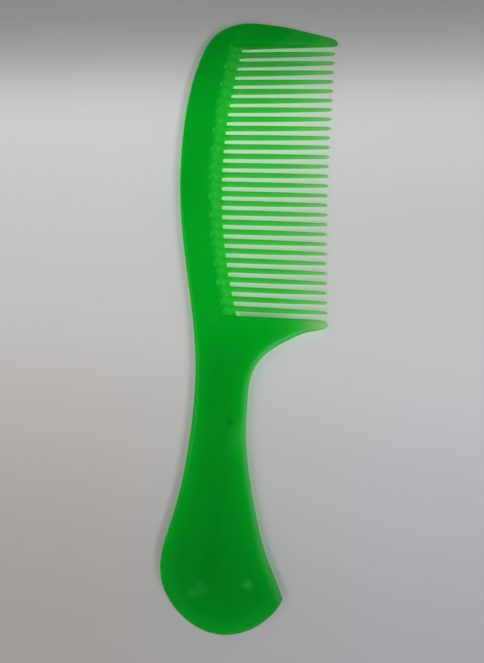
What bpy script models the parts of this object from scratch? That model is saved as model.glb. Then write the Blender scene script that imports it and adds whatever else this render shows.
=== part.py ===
"""One-piece moulded handle comb, lying flat on its back face.

Metres, +Z up. +X is the way the teeth point, +Y runs along the comb from the
handle to the head, and the origin is under the middle of the comb's box.
The real comb is one moulding. Its named regions are separate solids here, so
that every gap between two teeth stays open.
"""

import math

import bmesh
import bpy
from mathutils import Vector

# Row of teeth
TOOTH_COUNT = 28
TOOTH_PITCH = 0.0033
TOOTH_WIDTH = 0.0018
TOOTH_THICKNESS = 0.0018
TOOTH_CROWN = 0.0002
TOOTH_REACH = 0.0364
FOOT_TIP_RISE = 0.0025
RIDGE_WIDTH = 0.0004

# Head
BACK_DEPTH = 0.015
TOP_ROOT_RISE = 0.0042
FOOT_ROOT_RISE = 0.0084
TOP_GUARD_DEPTH = 0.0091
TOP_GUARD_REACH = 0.037
HORN_REACH = 0.039
HORN_DEPTH = 0.0215
HORN_TIP_WIDTH = 0.0016
HORN_TIP_DROP = 0.0015
HORN_TAPER_START = 0.0183
GUARD_TIP_THICKNESS = 0.0012
GROOVE_LENGTH = 0.0041
GROOVE_DEPTH = 0.0014
RAMP_LENGTH = 0.0026

# Handle
HANDLE_LENGTH = 0.1045
NECK_WIDTH = 0.0182
NECK_OFFSET = 0.00495
PADDLE_WIDTH = 0.0412
PADDLE_OFFSET = 0.0088
GATE_RADIUS = 0.0008
GATE_DEPTH = 0.0005

# Plate that all the regions share
PLATE_THICKNESS = 0.0044
EDGE_ROUND = 0.0006
SEAT_GAP = 0.0003
CUT_OVERRUN = 0.002

EDGE_SEGMENTS = 3
CURVE_STEPS = 5
GATE_SIDES = 16

# Where the row of teeth, the roots and the tips lie
gap_width = TOOTH_PITCH - TOOTH_WIDTH
row_length = TOOTH_COUNT * TOOTH_PITCH + gap_width
comb_length = HANDLE_LENGTH + row_length + TOP_GUARD_DEPTH
comb_width = BACK_DEPTH + HORN_REACH
end_y = -comb_length / 2
row_foot_y = end_y + HANDLE_LENGTH
row_top_y = row_foot_y + row_length
spine_x = -comb_width / 2
root_x = spine_x + BACK_DEPTH
mid_z = PLATE_THICKNESS / 2

# The deepest root lies this far up the row, and the tips start to reach out below the next
deepest_root_share = 0.57
straight_tips_share = 0.67

# Left edge of the head: depth into the back from its outermost line, height up the row
spine_shares = (
    (0.467, 1.0215),
    (0.333, 0.975),
    (0.160, 0.879),
    (0.037, 0.751),
    (0.0, 0.602),
    (0.040, 0.453),
    (0.183, 0.282),
    (0.393, 0.112),
)

# Edge of the top guard: reach along the guard from the spine, depth of the guard
crown_shares = (
    (0.985, 0.01),
    (1.0, 0.16),
    (0.9615, 0.346),
    (0.846, 0.544),
    (0.692, 0.785),
    (0.519, 0.954),
    (0.365, 1.0),
    (0.2885, 0.902),
    (0.2115, 0.691),
)

# Lower side of the horn: reach of the horn from the roots, depth under the row
horn_shares = (
    (0.41, 0.80),
    (0.473, 0.628),
    (0.586, 0.442),
    (0.7526, 0.264),
    (0.8256, 0.208),
    (0.9026, 0.173),
)
horn_tip_turns = (math.radians(0), math.radians(45), math.radians(90))

# Upper side of the horn, where it leaves the lowest gap: reach of the horn, drop of its tip
horn_top_shares = (
    (0.70, 0.0),
    (0.87, 0.0),
    (0.93, 0.10),
    (0.97, 0.45),
    (0.99, 0.75),
)

# Left and right edges of the handle: place between neck and paddle width, distance down the handle.
# A place of 0 is the neck's edge and 1 the paddle's.
handle_left_shares = (
    (0.22, 0.055),
    (0.03, 0.17),
    (0.0, 0.26),
    (0.105, 0.43),
    (0.40, 0.59),
    (0.76, 0.70),
    (1.0, 0.80),
)
handle_right_shares = (
    (0.83, 0.811),
    (0.60, 0.738),
    (0.39, 0.647),
    (0.257, 0.576),
    (0.127, 0.49),
    (0.0, 0.36),
    (0.005, 0.28),
    (0.04, 0.205),
)

# Round end of the paddle: place across the paddle from its left edge, distance down the handle
paddle_end_shares = (
    (0.03, 0.872),
    (0.125, 0.93),
    (0.30, 0.980),
    (0.515, 1.0),
    (0.735, 0.977),
    (0.905, 0.927),
)
paddle_corner_shares = (1.0, 0.872)

# How a tooth narrows and thins from its root to its tip
tooth_profile_shares = (
    (0.0, 1.0, 1.0),
    (0.45, 0.985, 0.90),
    (0.78, 0.90, 0.72),
    (0.90, 0.80, 0.60),
    (0.965, 0.58, 0.44),
    (1.0, 0.20, 0.18),
)

# Gate mark: distance down the handle, and place across the neck from its middle
gate_share = 0.339
gate_across_share = 0.21

GREEN = (0.012, 0.48, 0.035, 1.0)
DEEP_GREEN = (0.008, 0.38, 0.025, 1.0)
PALE_GREEN = (0.05, 0.58, 0.07, 1.0)
GLOSS_ROUGHNESS = 0.18


def clear_scene():
    for existing in list(bpy.data.objects):
        bpy.data.objects.remove(existing, do_unlink=True)


def make_collection(name):
    collection = bpy.data.collections.new(name)
    bpy.context.scene.collection.children.link(collection)
    return collection


def plastic(name, colour):
    """Glossy moulded plastic."""
    material = bpy.data.materials.new(name)
    material.use_nodes = True
    shader = material.node_tree.nodes["Principled BSDF"]
    shader.inputs["Base Color"].default_value = colour
    shader.inputs["Roughness"].default_value = GLOSS_ROUGHNESS
    shader.inputs["Metallic"].default_value = 0.0
    return material


def add_object(name, mesh, collection, material=None):
    piece = bpy.data.objects.new(name, mesh)
    collection.objects.link(piece)
    if material:
        mesh.materials.append(material)
        mesh.shade_smooth()
        mesh.set_sharp_from_angle()
    return piece


def as_cutter(piece):
    piece.hide_render = True
    piece.display_type = "WIRE"
    return piece


def root_line_x(y):
    """X of the roots at height y: a parabola that is deepest part of the way up the row."""
    deepest_y = row_foot_y + deepest_root_share * row_length
    if y > deepest_y:
        return root_x + TOP_ROOT_RISE * ((y - deepest_y) / (row_top_y - deepest_y)) ** 2
    return root_x + FOOT_ROOT_RISE * ((deepest_y - y) / (deepest_y - row_foot_y)) ** 2


def tip_line_x(y):
    """X of the tips at height y: straight over the upper teeth, then reaching out to the lowest."""
    bend_y = row_foot_y + straight_tips_share * row_length
    fall = max(0.0, (bend_y - y) / (bend_y - row_foot_y))
    return root_x + TOOTH_REACH + FOOT_TIP_RISE * fall**2


def spine_points():
    return [
        (spine_x + across * BACK_DEPTH, row_foot_y + up * row_length, "AUTO")
        for across, up in spine_shares
    ]


def crown_points():
    reach = BACK_DEPTH + TOP_GUARD_REACH
    return [
        (spine_x + along * reach, row_top_y + up * TOP_GUARD_DEPTH, "AUTO")
        for along, up in crown_shares
    ]


def horn_points():
    lower = [
        (root_x + along * HORN_REACH, row_foot_y - down * HORN_DEPTH, "AUTO")
        for along, down in horn_shares
    ]
    tip_y = row_foot_y - HORN_TIP_DROP - HORN_TIP_WIDTH / 2
    tip_x = root_x + HORN_REACH
    tip_radius = HORN_TIP_WIDTH / 2
    for turn in horn_tip_turns:
        x = tip_x - tip_radius + tip_radius * math.sin(turn)
        lower.append((x, tip_y - tip_radius * math.cos(turn), "AUTO"))
    lower.append((tip_x, row_foot_y + TOOTH_PITCH, "VECTOR"))
    return lower


def handle_edge(side, place, down):
    """A point of the handle's edge. Side is -1 on the left and 1 on the right."""
    neck_x = root_x + NECK_OFFSET + side * NECK_WIDTH / 2
    paddle_x = root_x + PADDLE_OFFSET + side * PADDLE_WIDTH / 2
    return (
        neck_x + place * (paddle_x - neck_x),
        row_foot_y - down * HANDLE_LENGTH,
        "AUTO",
    )


def paddle_point(across, down, corner="AUTO"):
    left_x = root_x + PADDLE_OFFSET - PADDLE_WIDTH / 2
    return (left_x + across * PADDLE_WIDTH, row_foot_y - down * HANDLE_LENGTH, corner)


def comb_outline():
    """The comb's outline, counter-clockwise from the top guard, with the bay of the teeth filled."""
    points = crown_points() + spine_points()
    points += [handle_edge(-1, place, down) for place, down in handle_left_shares]
    points += [paddle_point(across, down) for across, down in paddle_end_shares]
    points.append(paddle_point(*paddle_corner_shares, corner="VECTOR"))
    points += [handle_edge(1, place, down) for place, down in handle_right_shares]
    points += horn_points()
    return points


def plate_from_curve(name, points, thickness, collection):
    """A flat 2D curve through the points, filled, raised to its thickness and made a mesh."""
    curve = bpy.data.curves.new(name, "CURVE")
    curve.dimensions = "2D"
    curve.fill_mode = "BOTH"
    curve.extrude = thickness / 2
    curve.resolution_u = CURVE_STEPS
    spline = curve.splines.new("BEZIER")
    spline.bezier_points.add(len(points) - 1)
    spline.use_cyclic_u = True
    for knot, (x, y, handle) in zip(spline.bezier_points, points):
        knot.co = (x, y, 0.0)
        knot.handle_left_type = handle
        knot.handle_right_type = handle
    holder = bpy.data.objects.new(name, curve)
    collection.objects.link(holder)
    holder.location.z = mid_z
    graph = bpy.context.evaluated_depsgraph_get()
    graph.update()
    mesh = bpy.data.meshes.new_from_object(holder.evaluated_get(graph))
    mesh.transform(holder.matrix_world)
    bpy.data.objects.remove(holder, do_unlink=True)
    shape = bmesh.new()
    shape.from_mesh(mesh)
    bmesh.ops.remove_doubles(shape, verts=shape.verts, dist=SEAT_GAP / 10)
    bmesh.ops.dissolve_limit(
        shape, angle_limit=0.01, verts=shape.verts, edges=shape.edges
    )
    bmesh.ops.recalc_face_normals(shape, faces=shape.faces)
    shape.to_mesh(mesh)
    shape.free()
    mesh.name = name
    return mesh


def bay_cutter(collection):
    """Everything between the guards, from the line of the roots out past the tips."""
    out_x = root_x + HORN_REACH + CUT_OVERRUN
    steps = TOOTH_COUNT + 1
    points = [
        (root_x + along * HORN_REACH, row_foot_y - drop * HORN_TIP_DROP, "AUTO")
        for along, drop in horn_top_shares
    ]
    points.append((out_x, row_foot_y - HORN_TIP_DROP, "VECTOR"))
    points.append((out_x, row_top_y, "VECTOR"))
    for step in range(steps + 1):
        y = row_top_y - row_length * step / steps
        points.append((root_line_x(y), y, "VECTOR"))
    mesh = plate_from_curve(
        "bay_cut", points, PLATE_THICKNESS + CUT_OVERRUN, collection
    )
    return as_cutter(add_object("bay_cut", mesh, collection))


def box_cutter(name, low, high, collection):
    """A box between two corners."""
    low, high = Vector(low), Vector(high)
    shape = bmesh.new()
    bmesh.ops.create_cube(shape, size=1.0)
    bmesh.ops.scale(shape, vec=high - low, verts=shape.verts)
    bmesh.ops.translate(shape, vec=(low + high) / 2, verts=shape.verts)
    mesh = bpy.data.meshes.new(name)
    shape.to_mesh(mesh)
    shape.free()
    return as_cutter(add_object(name, mesh, collection))


def add_groove(shape, y, end_x, face):
    """A V groove along a gap, on the upper (1) or lower (-1) face, that ramps up into the back."""
    start_x = root_line_x(y)
    top_half = (TOOTH_PITCH - RIDGE_WIDTH) / 2
    above_share = (GROOVE_DEPTH + CUT_OVERRUN) / GROOVE_DEPTH
    rim_half = top_half * above_share
    surface_z = mid_z + face * mid_z
    bottom_z = surface_z - face * GROOVE_DEPTH
    rim_z = surface_z + face * CUT_OVERRUN
    corners = [
        (start_x - GROOVE_LENGTH * above_share, y, rim_z),
        (start_x, y, bottom_z),
        (end_x, y, bottom_z),
    ]
    for side in (-1, 1):
        corners.append((start_x, y + side * rim_half, rim_z))
        corners.append((end_x, y + side * rim_half, rim_z))
    made = [shape.verts.new(corner) for corner in corners]
    bmesh.ops.convex_hull(shape, input=made)


def groove_cutters(name, rows, end_x, collection):
    """The grooves of the given gaps as one cutter for each face and for odd and even gaps."""
    cutters = []
    for face in (-1, 1):
        for first in (0, 1):
            shape = bmesh.new()
            for row in rows:
                if row % 2 == first:
                    add_groove(shape, gap_y(row), end_x, face)
            if not shape.verts:
                shape.free()
                continue
            bmesh.ops.recalc_face_normals(shape, faces=shape.faces)
            mesh = bpy.data.meshes.new(name)
            shape.to_mesh(mesh)
            shape.free()
            cutters.append(as_cutter(add_object(name, mesh, collection)))
    return cutters


def ramp_cutter(name, face, collection):
    """A slope along the row, from a face of the back down to the teeth's own face at the roots."""
    fall = (PLATE_THICKNESS - TOOTH_THICKNESS) / 2 * (1 + CUT_OVERRUN / RAMP_LENGTH)
    surface_z = mid_z + face * mid_z
    rim_z = surface_z + face * CUT_OVERRUN
    steps = TOOTH_COUNT + 1
    shape = bmesh.new()
    rings = []
    for step in range(steps + 1):
        y = row_foot_y + row_length * step / steps
        in_x = root_line_x(y) - RAMP_LENGTH
        out_x = root_line_x(y) + CUT_OVERRUN
        places = ((in_x, surface_z), (out_x, surface_z - face * fall), (out_x, rim_z), (in_x, rim_z))
        rings.append([shape.verts.new((x, y, z)) for x, z in places])
    return as_cutter(add_object(name, closed_rings(shape, rings, name), collection))


def taper_cutter(name, start_x, tip_x, face, collection):
    """A wedge over a face, which thins a guard evenly from a place on it to its tip."""
    fall = (PLATE_THICKNESS - GUARD_TIP_THICKNESS) / 2
    far_x = tip_x + CUT_OVERRUN
    far_fall = fall * (far_x - start_x) / (tip_x - start_x)
    surface_z = mid_z + face * mid_z
    rim_z = surface_z + face * CUT_OVERRUN
    places = ((start_x, surface_z), (far_x, surface_z - face * far_fall), (far_x, rim_z), (start_x, rim_z))
    shape = bmesh.new()
    rings = [
        [shape.verts.new((x, y, z)) for x, z in places] for y in (-comb_length, comb_length)
    ]
    return as_cutter(add_object(name, closed_rings(shape, rings, name), collection))


def closed_rings(shape, rings, name):
    """A mesh of the rings' vertices, with walls between neighbours and a cap on each end."""
    for near, far in zip(rings, rings[1:]):
        for i in range(len(near)):
            j = (i + 1) % len(near)
            shape.faces.new((near[i], near[j], far[j], far[i]))
    shape.faces.new(reversed(rings[0]))
    shape.faces.new(rings[-1])
    bmesh.ops.recalc_face_normals(shape, faces=shape.faces)
    mesh = bpy.data.meshes.new(name)
    shape.to_mesh(mesh)
    shape.free()
    return mesh


def gap_y(row):
    """Centre line of a gap, counted down from the top guard."""
    return row_top_y - gap_width / 2 - row * TOOTH_PITCH


def cut(piece, cutter, operation="DIFFERENCE"):
    modifier = piece.modifiers.new(f"{operation.lower()}_{cutter.name}", "BOOLEAN")
    modifier.operation = operation
    modifier.object = cutter
    modifier.solver = "EXACT"


def region(name, blank, material, collection):
    """A copy of the whole plate with its outline rounded over, ready to be cut to one region."""
    piece = add_object(name, blank.copy(), collection, material)
    rounding = piece.modifiers.new("rounded_edge", "BEVEL")
    rounding.width = EDGE_ROUND
    rounding.segments = EDGE_SEGMENTS
    rounding.limit_method = "ANGLE"
    rounding.use_clamp_overlap = False
    return piece


def tooth(name, y, material, collection):
    """A tapering bar of six sides: a flat ridge on each face, and a narrow land on each flank."""
    half_width = TOOTH_WIDTH / 2
    half_thickness = TOOTH_THICKNESS / 2
    flank_half = half_thickness - TOOTH_CROWN
    section = (
        (-half_width, -flank_half),
        (-RIDGE_WIDTH / 2, -half_thickness),
        (RIDGE_WIDTH / 2, -half_thickness),
        (half_width, -flank_half),
        (half_width, flank_half),
        (RIDGE_WIDTH / 2, half_thickness),
        (-RIDGE_WIDTH / 2, half_thickness),
        (-half_width, flank_half),
    )
    tip_x = tip_line_x(y)
    shape = bmesh.new()
    rings = []
    for along, width, thickness in tooth_profile_shares:
        ring = []
        for across, up in section:
            place_y = y + width * across
            seat_x = root_line_x(place_y) + SEAT_GAP
            x = seat_x + along * (tip_x - seat_x)
            ring.append(shape.verts.new((x, place_y, mid_z + thickness * up)))
        rings.append(ring)
    return add_object(name, closed_rings(shape, rings, name), collection, material)


def gate_cutter(collection):
    """The shallow round recess left by the moulding gate, beside the neck's centre line."""
    shape = bmesh.new()
    bmesh.ops.create_cone(
        shape,
        cap_ends=True,
        segments=GATE_SIDES,
        radius1=GATE_RADIUS,
        radius2=GATE_RADIUS,
        depth=2 * GATE_DEPTH,
    )
    mesh = bpy.data.meshes.new("gate_cut")
    shape.to_mesh(mesh)
    shape.free()
    cutter = as_cutter(add_object("gate_cut", mesh, collection))
    cutter.location = (
        root_x + NECK_OFFSET + gate_across_share * NECK_WIDTH,
        row_foot_y - gate_share * HANDLE_LENGTH,
        PLATE_THICKNESS,
    )
    return cutter


def build():
    clear_scene()
    comb = make_collection("handle_comb")
    cutters = make_collection("cutters")
    blank = plate_from_curve("comb_blank", comb_outline(), PLATE_THICKNESS, cutters)

    # Seams between the regions, and how far the regions' boxes reach
    half_gap = SEAT_GAP / 2
    out_x = comb_width
    out_y = comb_length
    low_z = -CUT_OVERRUN
    high_z = PLATE_THICKNESS + CUT_OVERRUN
    middle_y = row_foot_y + row_length / 2
    guard_x = root_line_x(row_top_y)
    horn_x = root_line_x(row_foot_y)
    seam_y = row_foot_y - HORN_DEPTH

    def corner_box(name, low_x, low_y, high_y):
        return box_cutter(
            name, (low_x, low_y, low_z), (out_x, high_y, high_z), cutters
        )

    bay = bay_cutter(cutters)
    root_grooves = groove_cutters(
        "root_groove", range(TOOTH_COUNT + 1), root_x + BACK_DEPTH, cutters
    )
    root_ramps = [ramp_cutter("root_ramp", face, cutters) for face in (-1, 1)]
    guard_tip_x = spine_x + BACK_DEPTH + TOP_GUARD_REACH
    horn_tip_x = root_x + HORN_REACH
    horn_start_x = root_x + HORN_TAPER_START

    back = region("back", blank, plastic("back_green", GREEN), comb)
    cut(back, corner_box("above_back", guard_x - half_gap, middle_y, out_y))
    cut(back, corner_box("beside_back", horn_x - half_gap, -out_y, middle_y))
    cut(back, corner_box("under_back", -out_x, -out_y, seam_y + half_gap))

    top_guard = region("top_guard", blank, plastic("top_guard_green", GREEN), comb)
    guard_box = corner_box("top_guard_box", guard_x + half_gap, middle_y, out_y)
    cut(top_guard, guard_box, "INTERSECT")

    horn = region("lower_guard", blank, plastic("lower_guard_green", GREEN), comb)
    horn_box = corner_box(
        "lower_guard_box", horn_x + half_gap, seam_y + half_gap, middle_y
    )
    cut(horn, horn_box, "INTERSECT")

    handle = region("handle", blank, plastic("handle_green", DEEP_GREEN), comb)
    handle_box = corner_box("handle_box", -out_x, -out_y, seam_y - half_gap)
    cut(handle, handle_box, "INTERSECT")
    cut(handle, gate_cutter(cutters))

    for piece in (back, top_guard, horn):
        cut(piece, bay)
    for groove in root_grooves + root_ramps:
        cut(back, groove)
    for face in (-1, 1):
        cut(top_guard, taper_cutter("top_guard_taper", guard_x, guard_tip_x, face, cutters))
        cut(horn, taper_cutter("lower_guard_taper", horn_start_x, horn_tip_x, face, cutters))

    tooth_green = plastic("tooth_green", PALE_GREEN)
    for number in range(1, TOOTH_COUNT + 1):
        y = gap_y(number) + TOOTH_PITCH / 2
        tooth(f"tooth_{number:02d}", y, tooth_green, comb)


build()
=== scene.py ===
import math

import bpy
import numpy as np
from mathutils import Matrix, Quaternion, Vector


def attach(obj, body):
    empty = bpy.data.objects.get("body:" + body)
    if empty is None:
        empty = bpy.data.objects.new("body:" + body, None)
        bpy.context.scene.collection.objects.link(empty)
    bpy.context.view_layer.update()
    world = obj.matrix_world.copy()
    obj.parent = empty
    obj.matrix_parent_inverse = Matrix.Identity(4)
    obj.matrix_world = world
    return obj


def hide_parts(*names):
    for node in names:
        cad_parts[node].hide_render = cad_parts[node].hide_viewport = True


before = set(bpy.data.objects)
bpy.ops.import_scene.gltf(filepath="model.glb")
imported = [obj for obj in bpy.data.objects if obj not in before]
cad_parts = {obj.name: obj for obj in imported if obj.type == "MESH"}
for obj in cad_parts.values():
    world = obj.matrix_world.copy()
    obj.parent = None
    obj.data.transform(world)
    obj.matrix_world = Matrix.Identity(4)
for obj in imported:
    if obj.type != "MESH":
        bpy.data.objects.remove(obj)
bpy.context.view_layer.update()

# Comb: one injection moulding of translucent green plastic, both faces alike. It is worked out as one
# flat sheet in plan, in millimetres, which is then given a thickness that changes over it, so that the
# back, guards, handle and teeth run into each other without a seam, as they leave the mould.
MM = 0.001
tooth_count = 28
tooth_pitch = 3.3
gap_half = 0.75
tooth_half = 0.9
row_foot = 0.75
row_top = row_foot + tooth_count * tooth_pitch + 2 * gap_half
first_gap = row_foot + gap_half
first_tooth = row_foot + 2 * gap_half + tooth_half

# Plan of the edge: smooth lines through a few places on each side of the comb. The crown runs from the
# guard's nose over the head, down the back and round the paddle; the inside runs back up to the horn.
guard_nose = (25.35, 95.6)
paddle_corner = (17.55, -90.2)
neck_mouth = (6.3, -12.6)
horn_nose = (27.08, -0.95)
crown_knots = (
    guard_nose, (25.0, 96.45), (23.2, 97.74), (17.0, 99.6), (9.0, 101.75), (0.0, 103.3),
    (-8.0, 103.72), (-12.0, 102.86), (-16.0, 100.94), (-20.0, 96.67), (-22.0, 92.3),
    (-24.6, 83.3), (-26.4, 71.2), (-26.97, 57.3), (-26.4, 43.3), (-24.26, 27.2),
    (-21.1, 11.3), (-17.97, -5.0), (-16.5, -17.0), (-16.15, -27.0), (-16.95, -44.2),
    (-19.2, -60.9), (-21.9, -72.4), (-23.78, -82.8), (-22.43, -90.25), (-18.6, -96.25),
    (-11.4, -101.6), (-2.6, -103.74), (6.6, -101.5), (10.2, -99.33), (13.35, -96.5), (16.55, -92.4),
    paddle_corner,
)
inside_knots = (
    paddle_corner, (14.65, -84.05), (11.05, -76.45), (7.85, -66.9), (5.85, -59.4), (3.9, -50.5),
    (2.2, -38.5), (2.05, -29.0), (2.45, -20.7), (3.83, -16.35), neck_mouth, (10.85, -8.75),
    (17.35, -4.93), (20.2, -3.72), (23.2, -2.97), (25.2, -2.56), (26.45, -2.1), horn_nose,
)
horn_top_knots = (
    (16.0, row_foot), (19.0, 0.77), (21.5, 0.8), (23.5, 0.78), (25.0, 0.66), (26.2, 0.28), (26.85, -0.3),
    horn_nose,
)
guard_foot_knots = ((23.3, row_top), (24.3, 94.74), (25.05, 95.08), guard_nose)


def smooth_line(knots, steps=14):
    """A natural cubic spline: between two knots each coordinate is a cubic of the distance from the
    first, its bend agrees from span to span, and the bend is zero at both ends."""
    knots = np.asarray(knots, float)
    last = len(knots) - 1
    span = np.linalg.norm(np.diff(knots, axis=0), axis=1)
    inner = np.arange(1, last)
    system = np.eye(last + 1)
    system[inner, inner - 1] = span[:-1]
    system[inner, inner] = 2 * (span[:-1] + span[1:])
    system[inner, inner + 1] = span[1:]
    slope = np.diff(knots, axis=0) / span[:, None]
    pull = np.zeros_like(knots)
    pull[1:-1] = 6 * np.diff(slope, axis=0)
    bend = np.linalg.solve(system, pull)
    start = np.repeat(np.arange(last), steps)
    near = np.tile(np.arange(steps) / steps, last)[:, None]
    far = 1 - near
    size = span[start][:, None] ** 2 / 6
    line = far * knots[start] + near * knots[start + 1]
    line += size * ((far**3 - far) * bend[start] + (near**3 - near) * bend[start + 1])
    return np.vstack([line, knots[-1]])


def along(line, share):
    """Places on a line at the given shares of its length, as x and y arrays."""
    run = np.r_[0, np.cumsum(np.linalg.norm(np.diff(line, axis=0), axis=1))]
    return np.interp(share, run / run[-1], line[:, 0]), np.interp(share, run / run[-1], line[:, 1])


def distance_to(line, x, y, batches=24):
    """Distance in plan from each place to the nearest point of a line, taken over all its segments:
    the place is dropped onto the segment, and its foot is kept between the segment's ends. The places
    are taken in batches, to spare memory."""
    start, reach = line[:-1], np.diff(line, axis=0)
    square = (reach**2).sum(1)
    nearest = []
    for part_x, part_y in zip(np.array_split(x.ravel(), batches), np.array_split(y.ravel(), batches)):
        from_x, from_y = part_x[:, None] - start[:, 0], part_y[:, None] - start[:, 1]
        foot = np.clip((from_x * reach[:, 0] + from_y * reach[:, 1]) / square, 0, 1)
        nearest.append(np.hypot(from_x - foot * reach[:, 0], from_y - foot * reach[:, 1]).min(1))
    return np.concatenate(nearest).reshape(x.shape)


crown_line = smooth_line(crown_knots)
inside_line = smooth_line(inside_knots)
edge_line = np.vstack([crown_line, inside_line[1:]])
crown_x, crown_y = crown_line.T
spine_side = -14.0
spine_foot, spine_head = -100.0, 103.0
line_overlap = 2.0
on_spine = (crown_x < spine_side) & (crown_y > spine_foot) & (crown_y < spine_head)
spine_line = crown_line[on_spine][::-1]
top_line = crown_line[crown_y > row_top - line_overlap][::-1]
end_line = crown_line[crown_y < paddle_corner[1] + line_overlap]
handle_line = inside_line[inside_line[:, 1] <= neck_mouth[1]]
horn_under_line = inside_line[inside_line[:, 1] >= neck_mouth[1]]

# Roots and tips: the gaps end on a shallow curve, and the lowest teeth reach out further.
deepest_root = (-12.0, 54.27)
top_root_rise = 4.2
foot_root_rise = 8.4
upper_tip = 24.52
tip_bend = 63.6
foot_tip_rise = 2.5
gap_end_radius = 0.45


def root_x(y):
    """X of the gap ends at height y: two half parabolas that meet at the deepest root."""
    y = np.clip(y, row_foot, row_top)
    above = (y - deepest_root[1]) / (row_top - deepest_root[1])
    below = (deepest_root[1] - y) / (deepest_root[1] - row_foot)
    rise = np.where(above > 0, top_root_rise * above**2, foot_root_rise * below**2)
    return deepest_root[0] + rise


def tip_x(y):
    """X of the tips at height y: straight over the upper teeth, then a parabola out to the lowest."""
    return upper_tip + foot_tip_rise * np.clip((tip_bend - y) / (tip_bend - row_foot), 0, 1) ** 2


def gap_offset(y):
    """Distance up or down from height y to the middle of the nearest gap."""
    nearest = np.clip(np.round((y - first_gap) / tooth_pitch), 0, tooth_count)
    return np.abs(y - first_gap - nearest * tooth_pitch)


def gap_end_x(y):
    """X where the moulding ends at height y: the gap end with its rounded corners, and in line with
    the start of a tooth beside it. In the corner, x follows a circle of the corner's radius."""
    into_corner = np.clip(gap_offset(y) - (gap_half - gap_end_radius), 0, gap_end_radius)
    return root_x(y) + gap_end_radius - np.sqrt(gap_end_radius**2 - into_corner**2)


# Thickness: the faces are slightly crowned and the outer rim is rounded over. The teeth lie in a thinner
# plane, and a concave scallop runs down to it in front of each gap. Both guards thin out to their tips.
middle_z = 2.2
full_half = 2.18
rim_half = 1.5
edge_half = 0.3
least_relief = 0.05
crown_reach = 10.0
rim_radius = 0.95
gap_rim_radius = 0.42
tooth_plane = 0.80
scallop_length = 4.1
scallop_lead = 0.5
scallop_fade = 1.5
scallop_hollow = 0.3
ridge_fade = 0.22
ridge_round = 0.08
corner_run = 0.8
guard_root_x = -8.0
guard_tip_share = 0.27
horn_root_x = 6.3
horn_tip_share = 0.27


def crown_half(edge):
    """Half thickness at a distance from the rim: a parabola that levels off at the crown's reach."""
    return rim_half + (full_half - rim_half) * (1 - (1 - np.clip(edge / crown_reach, 0, 1)) ** 2)


def round_over(edge, radius):
    """Share of the full height at a distance from an edge: a quarter of an ellipse."""
    return np.sqrt(np.clip(1 - (1 - np.clip(edge / radius, 0, 1)) ** 2, 0, 1))


def soft_step(value, start, end):
    """0 before start, 1 after end, and a smooth S between them: the square of the share of the way, times
    three less twice the share."""
    share = np.clip((value - start) / (end - start), 0, 1)
    return share * share * (3 - 2 * share)


def above_zero(value, blur=0.06, tail=6):
    """The value where it is above zero, easing to nothing below: the mean of itself and its blurred size,
    which fades out over a tail of so many blurs."""
    return 0.5 * (value + np.sqrt(value**2 + blur**2)) * soft_step(value, -tail * blur, 0)


def ridge_offset(across, softness):
    """Distance from the middle of the gap beside a tooth, for a place this far from the tooth's centre
    line: half a pitch less the way across, as a hyperbola whose softness rounds the ridge off."""
    return tooth_pitch / 2 - (np.sqrt(across**2 + softness**2) - softness)


def into_scallop(x, y):
    """How far a place lies into the scallops: 0 at their inner ends and 1 where the gaps end."""
    return np.clip((x - root_x(y)) / scallop_length + 1, -scallop_lead, 1)


def beyond_row(y):
    """Distance from height y to the row of gaps, where y lies beyond one of its ends."""
    return np.maximum(np.maximum(row_foot - y, y - row_top), 0)


def scallop_zone(x, y):
    """1 over the scallops, falling to 0 past the gap ends and beyond the row's two ends."""
    past_corner = soft_step(x - root_x(y) - gap_end_radius, 0, scallop_fade)
    return (1 - past_corner) * (1 - np.clip(beyond_row(y) / corner_run, 0, 1))


def scallop(x, y, raw):
    """Depth cut from each face before the gaps: it grows with a falling slope from the scallop's inner
    end until it reaches the teeth's plane, less a parabola of the distance from the gap's middle line
    that flattens towards the gap."""
    into = into_scallop(x, y)
    depth = (raw - tooth_plane) * np.where(into < 0, 2 * into, 2 * into - into**2)
    across = tooth_pitch / 2 - gap_offset(y)
    offset = np.where(beyond_row(y) > 0, gap_half, ridge_offset(across, ridge_round))
    cut = above_zero(depth - (scallop_hollow - ridge_fade * np.clip(into, 0, 1)) * offset**2)
    return cut * scallop_zone(x, y)


def guard_share_left(x, start, end, tip_share):
    """Share of the thickness that a guard keeps at x: it falls evenly from its root to its tip."""
    return 1 - (1 - tip_share) * np.clip((x - start) / (end - start), 0, 1)


def slot_distance(x, y):
    """Distance from a place in the moulding to the nearest gap, whose end has rounded corners: that to
    the same gap drawn smaller all round by their radius, less the radius."""
    short = np.maximum(root_x(y) + gap_end_radius - x, 0)
    side = np.maximum(gap_offset(y) - (gap_half - gap_end_radius), 0)
    return np.maximum(np.hypot(short, side) - gap_end_radius, 0)


def body_half(x, y, gap_edge, thinner=1.0, gap_radius=gap_rim_radius):
    """Half thickness of the back, handle and guards: the crown less the scallop, rounded over at the
    rim and at the gaps. It never falls below the flat edge of the rim."""
    edge = distance_to(edge_line, x, y)
    raw = crown_half(edge) * thinner
    raw = raw - scallop(x, y, raw)
    share = round_over(edge, rim_radius) * round_over(gap_edge, gap_radius)
    return edge_half + np.maximum(raw - edge_half, least_relief) * share


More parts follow.
